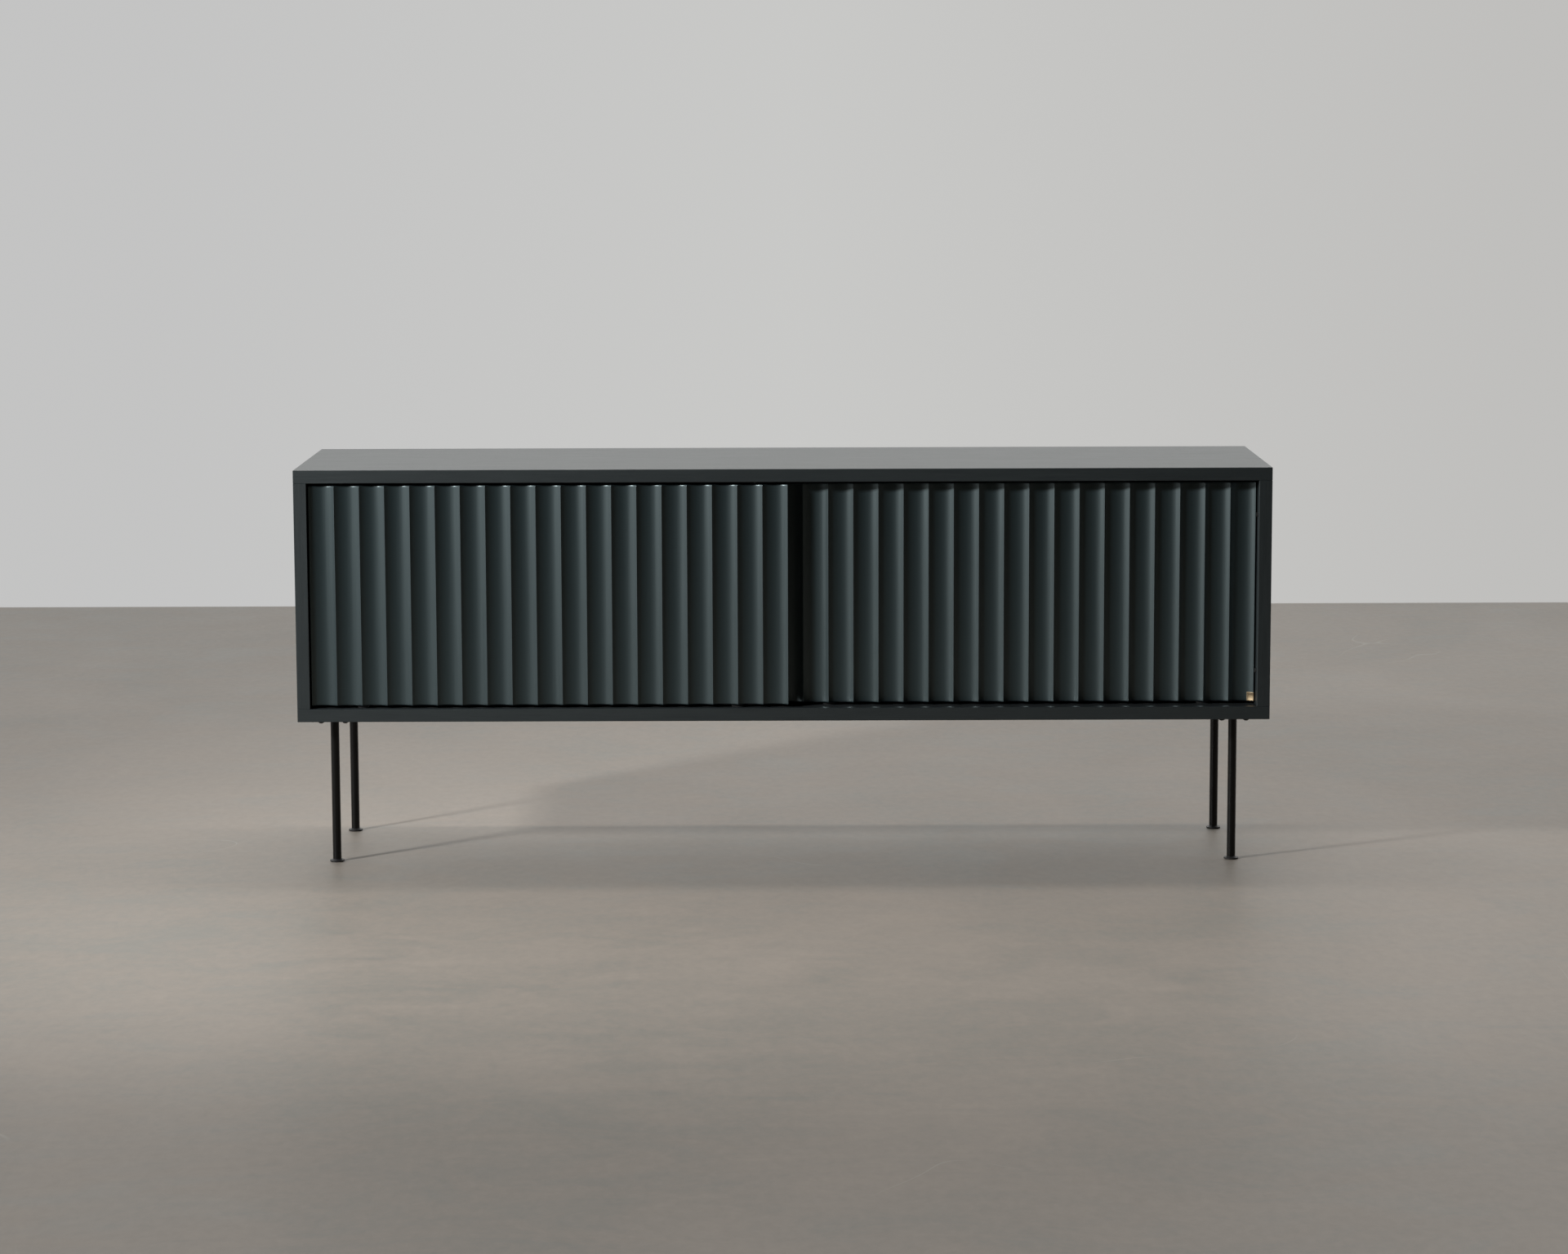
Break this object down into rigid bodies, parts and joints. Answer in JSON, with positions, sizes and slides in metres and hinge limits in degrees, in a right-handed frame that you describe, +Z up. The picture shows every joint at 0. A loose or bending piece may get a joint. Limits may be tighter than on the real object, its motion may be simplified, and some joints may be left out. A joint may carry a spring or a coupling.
{
  "type": "sliding-door sideboard",
  "caption": "Long low sideboard with a dark stained board carcass, fluted by-pass sliding doors, inner shelves and slim round steel legs.",
  "frame": {"origin": "on the floor, at the centre of the carcass footprint", "axes": "+X along the front to the right, +Y from the doors towards the back, +Z up"},
  "size_m": [1.8, 0.45, 0.743],
  "materials": {
    "stained_oak": "satin open-pore stain",
    "door_lacquer": "satin lacquer",
    "black_steel": "satin black powder coat",
    "foot_plastic": "matt black",
    "black_plastic": "matt black",
    "nylon": "natural white nylon",
    "beech": "bare fluted beech",
    "bumper_rubber": "matt",
    "brass": "brushed",
    "zinc_steel": "zinc plated"
  },
  "bodies": {
    "carcass": {"top_board": "stained_oak", "bottom_board": "stained_oak", "centre_divider": "stained_oak", "dowels_upper": "beech", "dowels_lower": "beech", "back_panel_screws": "black_steel", "leg_screws": "black_steel", "side_panel_left": "stained_oak", "back_panel_left": "stained_oak", "shelf_left": "stained_oak", "shelf_supports_left": "zinc_steel", "bumpers_left": "bumper_rubber", "side_panel_right": "stained_oak", "back_panel_right": "stained_oak", "shelf_right": "stained_oak", "shelf_supports_right": "zinc_steel", "bumpers_right": "bumper_rubber", "lower_track_front": "black_plastic", "upper_track_front": "black_plastic", "lower_track_rear": "black_plastic", "upper_track_rear": "black_plastic", "leg_plate_front_left": "black_steel", "leg_tube_front_left": "black_steel", "foot_front_left": "foot_plastic", "leg_plate_front_right": "black_steel", "leg_tube_front_right": "black_steel", "foot_front_right": "foot_plastic", "leg_plate_back_left": "black_steel", "leg_tube_back_left": "black_steel", "foot_back_left": "foot_plastic", "leg_plate_back_right": "black_steel", "leg_tube_back_right": "black_steel", "foot_back_right": "foot_plastic"},
    "left_door": {"left_door": "door_lacquer", "left_roller_axles": "zinc_steel", "left_housing_screws": "zinc_steel", "left_roller_housing_a": "black_plastic", "left_guide_housing_a": "black_plastic", "left_guide_spring_a": "zinc_steel", "left_roller_housing_b": "black_plastic", "left_guide_housing_b": "black_plastic", "left_guide_spring_b": "zinc_steel"},
    "left_roller_a": {"left_roller_a": "nylon"},
    "left_roller_b": {"left_roller_b": "nylon"},
    "left_guide_pin_a": {"left_guide_pin_a": "zinc_steel"},
    "left_guide_pin_b": {"left_guide_pin_b": "zinc_steel"},
    "right_door": {"right_door": "door_lacquer", "right_roller_axles": "zinc_steel", "right_housing_screws": "zinc_steel", "right_roller_housing_a": "black_plastic", "right_guide_housing_a": "black_plastic", "right_guide_spring_a": "zinc_steel", "right_roller_housing_b": "black_plastic", "right_guide_housing_b": "black_plastic", "right_guide_spring_b": "zinc_steel", "brass_tab": "brass"},
    "right_roller_a": {"right_roller_a": "nylon"},
    "right_roller_b": {"right_roller_b": "nylon"},
    "right_guide_pin_a": {"right_guide_pin_a": "zinc_steel"},
    "right_guide_pin_b": {"right_guide_pin_b": "zinc_steel"}
  },
  "joints": [
    {"name": "left_door_slide", "type": "slide", "parent": "carcass", "child": "left_door", "axis": [1, 0, 0], "range_m": [0, 0.8635]},
    {"name": "left_roller_a_spin", "type": "hinge", "parent": "left_door", "child": "left_roller_a", "pos_m": [-0.7785, -0.2055, 0.3082], "axis": [0, 1, 0], "continuous": true},
    {"name": "left_roller_b_spin", "type": "hinge", "parent": "left_door", "child": "left_roller_b", "pos_m": [-0.085, -0.2055, 0.3082], "axis": [0, 1, 0], "continuous": true},
    {"name": "left_guide_a_push", "type": "slide", "parent": "left_door", "child": "left_guide_pin_a", "axis": [0, 0, -1], "range_m": [0, 0.01], "stiffness_N_per_m": 250, "springref_m": -0.02, "deforming": ["left_guide_spring_a"]},
    {"name": "left_guide_b_push", "type": "slide", "parent": "left_door", "child": "left_guide_pin_b", "axis": [0, 0, -1], "range_m": [0, 0.01], "stiffness_N_per_m": 250, "springref_m": -0.02, "deforming": ["left_guide_spring_b"]},
    {"name": "right_door_slide", "type": "slide", "parent": "carcass", "child": "right_door", "axis": [1, 0, 0], "range_m": [-0.8635, 0]},
    {"name": "right_roller_a_spin", "type": "hinge", "parent": "right_door", "child": "right_roller_a", "pos_m": [0.085, -0.182, 0.3082], "axis": [0, 1, 0], "continuous": true},
    {"name": "right_roller_b_spin", "type": "hinge", "parent": "right_door", "child": "right_roller_b", "pos_m": [0.7785, -0.182, 0.3082], "axis": [0, 1, 0], "continuous": true},
    {"name": "right_guide_a_push", "type": "slide", "parent": "right_door", "child": "right_guide_pin_a", "axis": [0, 0, -1], "range_m": [0, 0.01], "stiffness_N_per_m": 250, "springref_m": -0.02, "deforming": ["right_guide_spring_a"]},
    {"name": "right_guide_b_push", "type": "slide", "parent": "right_door", "child": "right_guide_pin_b", "axis": [0, 0, -1], "range_m": [0, 0.01], "stiffness_N_per_m": 250, "springref_m": -0.02, "deforming": ["right_guide_spring_b"]}
  ],
  "couplings": [
    {"joint": "left_roller_a_spin", "follows": "left_door_slide", "rad_per_m": 76.923},
    {"joint": "left_roller_b_spin", "follows": "left_door_slide", "rad_per_m": 76.923},
    {"joint": "right_roller_a_spin", "follows": "right_door_slide", "rad_per_m": 76.923},
    {"joint": "right_roller_b_spin", "follows": "right_door_slide", "rad_per_m": 76.923}
  ]
}
